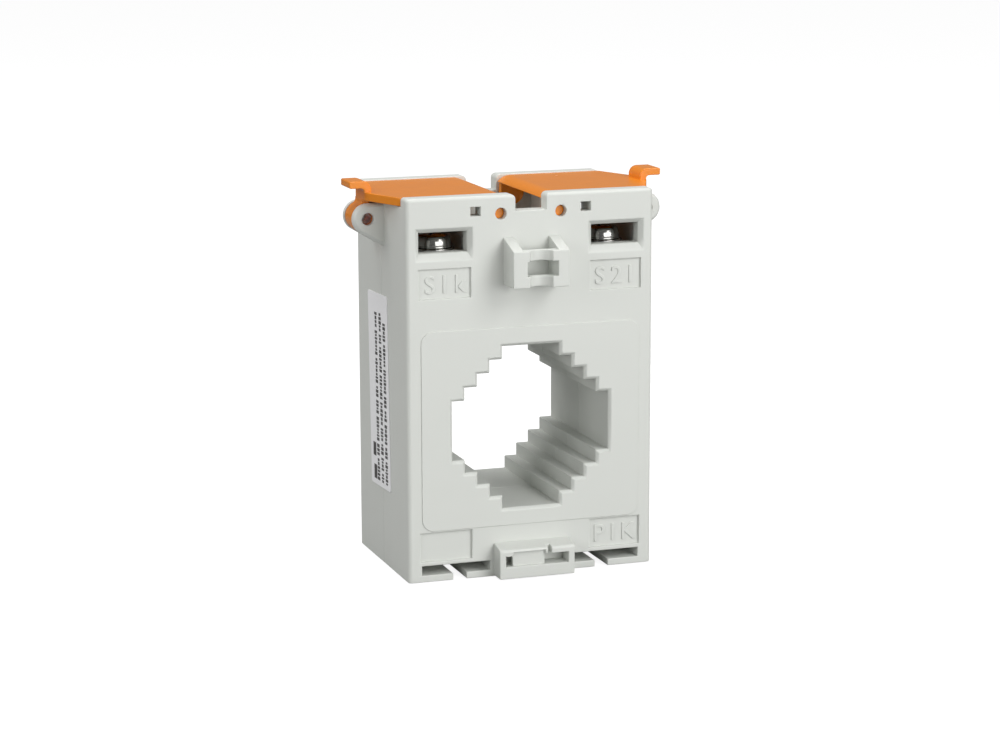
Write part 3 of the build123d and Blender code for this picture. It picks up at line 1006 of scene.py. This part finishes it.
@dataclass
class RatingLabel:
    """White label on the left side, printed with plain bars in place of text.

    Attributes:
        node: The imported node.
        width: Width across.
        height: Height.
        tilt: Lean of the label in degrees.
        line_height: Height of a printed line.
        stroke_gap: Gap between two strokes.
        word_gap: Gap between two groups of strokes, beside that.
        ink_height: How far the print stands on the label.
        edge: Edge rounding of the label.
    """

    node: str = "rating_label"
    width: float = 16.4
    height: float = 48.6
    tilt: float = 2.2
    line_height: float = 2.1
    stroke_gap: float = 0.24
    word_gap: float = 0.6
    ink_height: float = 0.015
    edge: float = 0.05

    def build(self, stock: Material, ink: Material) -> None:
        """Make the label and its print.

        Args:
            stock: The white label stock.
            ink: The print's ink.
        """
        label = Bench.node_copy(self.node, "side_label")
        Bench.soften(label, self.edge)
        Bench.dress(label, stock, "case", "label_white", [self.node])
        Bench.dress(self._print(), ink, "case", "label_white")

    def _rows(self) -> Iterator[tuple[float, float, float, float]]:
        """Lay out the bars that stand for the print.

        Yields:
            Start and end along the label, middle line across it, and width.
        """
        draw = random.Random(11)
        yield 1.4, 5.0, 12.6, 2.4
        yield 7.2, 10.6, 13.0, 2.4
        lines = ((1.4, 43.6, 9.9), (1.3, 43.3, 6.4), (1.3, 41.0, 3.0))
        for begin, stop, across in lines:
            place = begin
            while place < stop:
                for _ in range(draw.randint(3, 7)):
                    stroke = draw.uniform(0.5, 0.9)
                    yield place, place + stroke, across, self.line_height * draw.choice((0.7, 1.0, 1.0))
                    place += stroke + self.stroke_gap
                place += self.word_gap

    def _print(self) -> Piece:
        """Make the bars as one thin piece on the label's outer face.

        Returns:
            The print.
        """
        low, high = box_of(self.node)
        mesh = bmesh.new()
        for start, stop, across, tall in self._rows():
            left, right = across - tall / 2, across + tall / 2
            corners = ((left, start), (right, start), (right, stop), (left, stop))
            face = mesh.faces.new([mesh.verts.new((0.0, a - self.width / 2, b - self.height / 2))
                                   for a, b in corners])
            face.normal_flip()
        piece = Bench.lay_out("label_print", bpy.data.meshes.new("label_print"))
        mesh.to_mesh(piece.data)
        mesh.free()
        with Bench.editing(piece):
            bpy.ops.mesh.extrude_region_move(TRANSFORM_OT_translate={"value": (-self.ink_height, 0.0, 0.0)})
            bpy.ops.mesh.select_all(action="SELECT")
            bpy.ops.mesh.normals_make_consistent(inside=False)
        middle = (low + high) / 2
        lean = Matrix.Rotation(math.radians(-self.tilt), 4, "X")
        place = Matrix.Translation((low.x, middle.y, middle.z))
        piece.data.transform(Matrix.Scale(MM, 4) @ place @ lean)
        piece.data.update()
        return piece


# Terminals

@dataclass
class TerminalHardware:
    """The plated pieces of one terminal position.

    Attributes:
        place: End of the node names, such as s1_front.
        clamp_height: Thickness of the clamp washer.
        spring_height: Thickness of the spring washer.
        head_radius: Radius of the screw's round head.
        head_height: Height of the whole head.
        rim: Height of the head's straight rim.
        shoulder: Elevation where the head's round side meets its flatter crown, in degrees.
        shank_radius: Radius over the thread.
        shank_length: Length of the shank.
        pitch: Pitch of the thread.
        recess_reach: Half length of the cross recess.
        recess_width: Width of each arm of the recess.
        recess_depth: Depth of the recess.
    """

    place: str
    clamp_height: float = 0.5
    spring_height: float = 0.6
    head_radius: float = 4.4
    head_height: float = 2.8
    rim: float = 0.15
    shoulder: float = 27.0
    shank_radius: float = 2.5
    shank_length: float = 8.9
    pitch: float = 0.8
    recess_reach: float = 2.5
    recess_width: float = 1.05
    recess_depth: float = 1.5

    def build(self, turned: Material) -> None:
        """Make the screw, washers and nut.

        Args:
            turned: The plated metal with turned lines, its colour darkened as painted shade.
        """
        seat = box_of(f"clamp_washer_{self.place}")[0].z
        spring_seat = seat + self.clamp_height
        self._flat_piece("clamp_washer", turned, edge=0.14, seat=seat, height=self.clamp_height)
        self._flat_piece("spring_washer", turned, edge=0.16, seat=spring_seat, height=self.spring_height)
        self._flat_piece("terminal_nut", turned, edge=0.2)
        self._screw(spring_seat + self.spring_height, turned)

    def _flat_piece(self, kind: str, turned: Material, edge: float, seat: float = 0.0,
                    height: float | None = None) -> None:
        """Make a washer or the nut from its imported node.

        Args:
            kind: Start of the node's name.
            turned: The plated metal with turned lines.
            edge: Edge rounding.
            seat: Height of the underside, where the piece has a thickness of its own.
            height: Thickness of the piece, or None to keep the node's place and form.
        """
        node = f"{kind}_{self.place}"
        piece = Bench.node_copy(node, f"{node}_plated")
        low, high = box_of(node)
        if height is not None:
            squeeze = Matrix.Diagonal((1.0, 1.0, height / (high.z - low.z), 1.0))
            rest = Matrix.Translation((0.0, 0.0, seat * MM))
            piece.data.transform(rest @ squeeze @ Matrix.Translation((0.0, 0.0, -low.z * MM)))
        Bench.soften(piece, edge)
        Bench.remember_place(piece, (low + high) / 2 * MM)
        Bench.dress(piece, turned, "case", "plated_steel", [node])

    def _screw(self, head_seat: float, turned: Material) -> None:
        """Make the round-headed screw with its recess and thread.

        Args:
            head_seat: Height of the head's underside.
            turned: The plated metal with turned lines.
        """
        node = f"terminal_screw_{self.place}"
        screw = Bench.fuse([self._head(), self._shank()])
        screw.name = f"{node}_plated"
        Bench.remember_place(screw, Vector((0.0, 0.0, 0.0)))
        low, high = box_of(node)
        foot = Vector(((low.x + high.x) / 2, (low.y + high.y) / 2, head_seat))
        screw.data.transform(Matrix.Translation(foot * MM))
        screw.data.update()
        Bench.dress(screw, turned, "case", "plated_steel", [node])

    def _head(self) -> Piece:
        """Shape the round head from a disc, ring by ring, and cut the cross recess.

        Returns:
            The head.
        """
        head = Bench.primitive(
            bpy.ops.mesh.primitive_cylinder_add, vertices=64, radius=self.head_radius * MM,
            depth=self.rim * MM, location=(0.0, 0.0, self.rim / 2 * MM))
        bpy.ops.object.transform_apply(location=True, rotation=False, scale=False)
        outline = self._head_outline()
        with Bench.editing(head):
            Bench.select_level(head, self.rim)
            for (before_x, before_z), (after_x, after_z) in zip(outline, outline[1:]):
                bpy.ops.mesh.inset(thickness=(before_x - after_x) * MM, depth=(after_z - before_z) * MM)
        Bench.combine(head, self._recess_cutter(), Combine.CUT)
        Bench.soften(head, 0.1)
        return head

    def _head_outline(self) -> list[tuple[float, float]]:
        """Radius and height of each ring of the head: a ball's side and then an oval crown.

        Returns:
            The rings, from the rim to the top.
        """
        side_steps, crown_steps, crown_turn = 6, 7, 12.0
        side = [math.radians(self.shoulder * step / side_steps) for step in range(side_steps + 1)]
        rings = [(self.head_radius * math.cos(turn), self.rim + self.head_radius * math.sin(turn))
                 for turn in side]
        edge_x, edge_z = rings[-1]
        rise = self.head_height - edge_z
        for step in range(1, crown_steps + 1):
            turn = math.radians(crown_turn * step)
            rings.append((edge_x * math.cos(turn), edge_z + rise * math.sin(turn)))
        return rings

    def _recess_cutter(self) -> Piece:
        """Make the cross that is cut out of the head, narrower towards its foot.

        Returns:
            The cutter.
        """
        over, foot_reach, foot_width = 0.3, 0.62, 0.7
        depth = self.recess_depth + over
        size = Matrix.Diagonal((2 * self.recess_reach, self.recess_width, depth, 1.0))
        lift = Matrix.Translation((0.0, 0.0, self.head_height + over - depth / 2))
        arms = []
        for turn in (45.0, 135.0):
            arm = Bench.primitive(bpy.ops.mesh.primitive_cube_add, size=1.0)
            with Bench.editing(arm):
                Bench.select_level(arm, -0.5 / MM)
                bpy.ops.transform.resize(value=(foot_reach, foot_width, 1.0),
                                         center_override=(0.0, 0.0, -0.5))
            spin = Matrix.Rotation(math.radians(turn), 4, "Z")
            arm.data.transform(Matrix.Scale(MM, 4) @ lift @ spin @ size)
            arms.append(arm)
        Bench.combine(arms[0], arms[1], Combine.FUSE)
        return arms[0]

    def _shank(self) -> Piece:
        """Make the threaded shank, ridge by ridge, down from the head.

        Returns:
            The shank.
        """
        groove, crest, flank, tip = 0.9, 0.15, 0.425, 0.82
        shank = Bench.primitive(bpy.ops.mesh.primitive_circle_add, vertices=32,
                                radius=self.shank_radius * groove * MM, fill_type="NGON")
        wide = 1.0 / groove
        depth = 0.0
        with Bench.editing(shank):
            for _ in range(int((self.shank_length - self.pitch) / self.pitch)):
                for factor in (wide, 1.0, 1.0 / wide):
                    step = self.pitch * (crest if factor == 1.0 else flank)
                    depth += step
                    self._extrude_down(step, factor, depth)
            self._extrude_down(self.shank_length - depth, tip, self.shank_length)
            bpy.ops.mesh.select_all(action="SELECT")
            bpy.ops.mesh.normals_make_consistent(inside=False)
        bpy.ops.object.shade_smooth_by_angle(angle=math.radians(25.0))
        return shank

    @staticmethod
    def _extrude_down(step: float, factor: float, depth: float) -> None:
        """Extrude the selected end down and resize it about the axis.

        Args:
            step: Length of the extrusion.
            factor: Change of its radius.
            depth: Depth of the new end.
        """
        bpy.ops.mesh.extrude_region_move(TRANSFORM_OT_translate={"value": (0.0, 0.0, -step * MM)})
        if factor != 1.0:
            bpy.ops.transform.resize(value=(factor, factor, 1.0), center_override=(0.0, 0.0, -depth * MM))


# Wound core

@dataclass
class WoundCore:
    """Materials of the pieces round the window, which keep their packed form.

    Attributes:
        axis_z: Height of the window's axis.
    """

    axis_z: float

    def build(self) -> None:
        """Dress every inner piece."""
        finishes = (
            (WoundMetal("core_strip", (0.30, 0.32, 0.35, 1.0), 0.35, self.axis_z, layers=21000.0),
             ("core_ring",)),
            (WoundMetal("enamelled_copper", (0.62, 0.24, 0.09, 1.0), 0.28, self.axis_z,
                        spokes=288.0, lacquer=0.6), ("secondary_winding",)),
            (MouldedPlastic("cap_black", (0.03, 0.03, 0.035, 1.0), 0.5),
             ("core_cap_front", "core_cap_rear")),
            (SoftSheet("tape_film", (0.78, 0.58, 0.12, 1.0), 0.25, spread=0.05, patches=300.0,
                       grain=900.0, grain_depth=0.02), ("winding_tape",)),
            (SoftSheet("packing_foam", (0.10, 0.10, 0.11, 1.0), 0.9, spread=0.25, patches=2500.0,
                       grain=2600.0, grain_depth=0.15), ("packing_ring_front", "packing_ring_rear")),
            (SoftSheet("lead_sleeve", (0.72, 0.70, 0.62, 1.0), 0.45, spread=0.04, patches=200.0,
                       grain=3000.0, grain_depth=0.01), ("lead_s1", "lead_s2")),
        )
        for finish, nodes in finishes:
            material = finish.material()
            for node in nodes:
                for material_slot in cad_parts[node].material_slots:
                    material_slot.material = material
                LOG.info("%s: keeps its form, dressed as %s", node, finish.name)


# Studio

@dataclass
class Studio:
    """Pale floor, soft lights and the camera at the photograph's place.

    Attributes:
        yaw: Turn of the view to the right, in degrees.
        pitch: Look down, in degrees.
        roll: Roll of the view, in degrees.
        eye: The camera's place.
        lens: Lens for a 36 mm sensor.
        aim: The point that the lights face.
        floor_half: Half size of the floor.
        floor_drop: How far the floor lies under the case.
        floor_lift: Light that the floor adds to the eye.
        sky: Strength of the even light from all round.
        lights: Name, place, width, height and power of each soft light.
    """

    yaw: float = 18.877
    pitch: float = 11.319
    roll: float = -0.153
    eye: Point = (-223.016, -649.801, 183.191)
    lens: float = 100.845
    aim: Point = (0.0, 0.0, 45.0)
    floor_half: float = 6000.0
    floor_drop: float = 0.2
    floor_lift: float = 0.9
    sky: float = 0.22
    lights: Sequence[tuple[str, Point, float, float, float]] = (
        ("key_light", (560.0, -800.0, 810.0), 560.0, 560.0, 5.8),
        ("front_card", (380.0, -1090.0, 240.0), 1000.0, 460.0, 6.5),
        ("top_light", (-60.0, 160.0, 900.0), 620.0, 620.0, 4.4),
        ("side_light", (-900.0, 340.0, 760.0), 560.0, 560.0, 3.6),
        ("left_card", (-900.0, -480.0, 360.0), 420.0, 420.0, 2.1),
    )

    def build(self) -> None:
        """Make the floor, the lights, the sky and the camera."""
        self._floor()
        self._sky()
        for light in self.lights:
            self._softbox(*light)
        self._camera()
        bpy.context.scene.view_settings.view_transform = "Standard"

    def _floor(self) -> None:
        """Make the pale floor, a little brighter to the eye than its light alone makes it."""
        floor = Bench.primitive(bpy.ops.mesh.primitive_plane_add, size=2 * self.floor_half * MM,
                                location=(0.0, 0.0, -self.floor_drop * MM))
        floor.name = "floor"
        surface = Surface.start("floor_paint")
        surface.colour((0.28, 0.28, 0.28, 1.0), spread=0.004, scale=6.0)
        surface.shader.inputs["Roughness"].default_value = 0.85
        surface.shader.inputs["Specular IOR Level"].default_value = 0.1
        wiring = surface.wiring
        sight = wiring.add("ShaderNodeLightPath")
        strength = wiring.maths("MULTIPLY", sight.outputs["Is Camera Ray"], self.floor_lift)
        lift = wiring.add("ShaderNodeEmission", None, {"Strength": strength})
        both = wiring.add("ShaderNodeAddShader", None, {
            0: surface.shader.outputs["BSDF"], 1: lift.outputs["Emission"]})
        output = surface.material.node_tree.nodes["Material Output"]
        wiring.join(both.outputs[0], output.inputs["Surface"])
        floor.data.materials.append(surface.material)

    def _sky(self) -> None:
        """Light the scene evenly from all round, with a sky that looks as pale as the floor."""
        world = bpy.data.worlds.new("studio")
        world.use_nodes = True
        background = world.node_tree.nodes["Background"]
        background.inputs["Color"].default_value = (1.0, 1.0, 1.0, 1.0)
        wiring = Wiring(world.node_tree)
        sight = wiring.add("ShaderNodeLightPath")
        level = wiring.maths("MAXIMUM", sight.outputs["Is Camera Ray"], self.sky)
        wiring.join(level, background.inputs["Strength"])
        bpy.context.scene.world = world

    def _softbox(self, name: str, place: Point, width: float, height: float, power: float) -> None:
        """Make one oblong soft light.

        Args:
            name: Name of the light.
            place: Its place.
            width: Width of the light.
            height: Height of the light.
            power: Power in watts.
        """
        data = bpy.data.lights.new(name, "AREA")
        data.shape = "RECTANGLE"
        data.size = width * MM
        data.size_y = height * MM
        data.energy = power
        light = Bench.lay_out(name, data)
        light.location = Vector(place) * MM
        light.rotation_euler = (Vector(self.aim) - Vector(place)).to_track_quat("-Z", "Y").to_euler()

    def _camera(self) -> None:
        """Put the camera where the photograph was taken from."""
        yaw, pitch, roll = (math.radians(turn) for turn in (self.yaw, self.pitch, self.roll))
        forward = Vector((math.sin(yaw) * math.cos(pitch), math.cos(yaw) * math.cos(pitch), -math.sin(pitch)))
        level = Vector((math.cos(yaw), -math.sin(yaw), 0.0))
        up = level.cross(forward)
        right = level * math.cos(roll) + up * math.sin(roll)
        up = right.cross(forward)
        data = bpy.data.cameras.new("camera")
        data.lens = self.lens
        data.sensor_width = 36.0
        data.clip_start = 0.01
        data.clip_end = 50.0
        camera = Bench.lay_out("camera", data)
        turn = Matrix((right, up, -forward)).transposed().to_4x4()
        camera.matrix_world = Matrix.Translation(Vector(self.eye) * MM) @ turn
        bpy.context.scene.camera = camera


# The whole transformer

class Transformer:
    """Builds every dressed piece in order."""

    def __init__(self) -> None:
        """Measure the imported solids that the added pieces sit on."""
        self.half_width = -box_of("rating_label")[1].x
        self.face_y = 21.0
        ring_low, ring_high = box_of("core_ring")
        self.axis_z = (ring_low.z + ring_high.z) / 2

    def build(self) -> None:
        """Build the case, marks, lids, label, terminals and core."""
        grey = MouldedPlastic("shell_plastic", (0.655, 0.672, 0.635, 1.0), 0.42).material()
        orange = MouldedPlastic("lid_plastic", (0.80, 0.245, 0.008, 1.0), 0.25, spread=0.012,
                                grain=1200.0, grain_depth=0.002).material()
        stock = SoftSheet("label_stock", (0.92, 0.92, 0.93, 1.0), 0.4, spread=0.01, patches=80.0,
                          grain=2500.0, grain_depth=0.004).material()
        ink = SoftSheet("label_ink", (0.06, 0.058, 0.056, 1.0), 0.5, spread=0.35, patches=2500.0,
                        grain=4000.0, grain_depth=0.004).material()
        # The screws' and washers' nickel is painted about half as light as the strips' nickel below: painted
        # shade of the dark screw chambers that they sit in and reflect.
        turned = PlatedMetal("nickel_turned_painted_shade", (0.35, 0.345, 0.33, 1.0), 0.15).material()
        rolled = PlatedMetal("nickel_rolled", (0.70, 0.68, 0.63, 1.0), 0.3, Grounds.OBJECT,
                             lines=4000.0).material()
        for end in ("front", "rear"):
            CaseHalf(f"{end}_shell", f"{end}_half_case", half_width=self.half_width,
                     half_depth=self.face_y).build(grey)
        self._screens().build(grey)
        self._marks(grey)
        for node, side in (("lid_s1", "left"), ("lid_s2", "right")):
            Lid(node, f"{side}_cover", body=f"{side}_lid").build(orange)
        RatingLabel().build(stock, ink)
        for place in ("s1_front", "s1_rear", "s2_front", "s2_rear"):
            TerminalHardware(place).build(turned)
        for side in ("s1", "s2"):
            TerminalStrip(f"terminal_strip_{side}", f"terminal_strip_{side}_plated").build(rolled)
        WoundCore(self.axis_z).build()

    @staticmethod
    def _screens() -> ChamberScreens:
        """Place the uprights on the case's low ribs, beside the terminal strips.

        Returns:
            The uprights.
        """
        low, high = box_of("terminal_strip_s2")
        strip_to_rib, rib_thickness, rib_height, below_peep, rise, past_strip = 2.1, 1.4, 4.0, 9.6, 12.0, 0.2
        inner_x = low.x - strip_to_rib - rib_thickness
        return ChamberScreens(inner_x, rib_thickness, low.z + rib_height, low.z + rise,
                              low.z + below_peep, high.y + past_strip)

    def _marks(self, grey: Material) -> None:
        """Make the raised terminal marks on both faces.

        Args:
            grey: The grey plastic.
        """
        margin, field_width = 3.1, 13.1
        outer = self.half_width - margin
        inner = outer - field_width
        upper = {"base": 71.0, "recess": 0.6}
        lower = {"base": 6.3, "recess": 0.7}
        words = {
            "s1": ("S1k", 0.22, 0.50, 0.80),
            "s2": ("S2l", 0.20, 0.53, 0.80),
            "p1": ("P1K", 0.20, 0.48, 0.79),
            "p2": ("P2L", 0.20, 0.50, 0.79),
        }
        marks = (
            ("s1", Face.FRONT, -outer, upper), ("s2", Face.FRONT, inner, upper),
            ("p1", Face.FRONT, inner, lower), ("s2", Face.REAR, -outer, upper),
            ("s1", Face.REAR, inner, upper), ("p2", Face.REAR, inner, lower),
        )
        for name, face, left, field in marks:
            signs, *shares = words[name]
            TerminalMark(f"mark_{name}_{face.name.lower()}", list(zip(signs, shares)), face, left,
                         field_width, **field).build(grey, self.face_y)


def main() -> None:
    """Build the transformer and the studio."""
    logging.basicConfig(level=logging.INFO, format="%(name)s: %(message)s")
    Transformer().build()
    Studio().build()


if __name__ == "__main__":
    main()
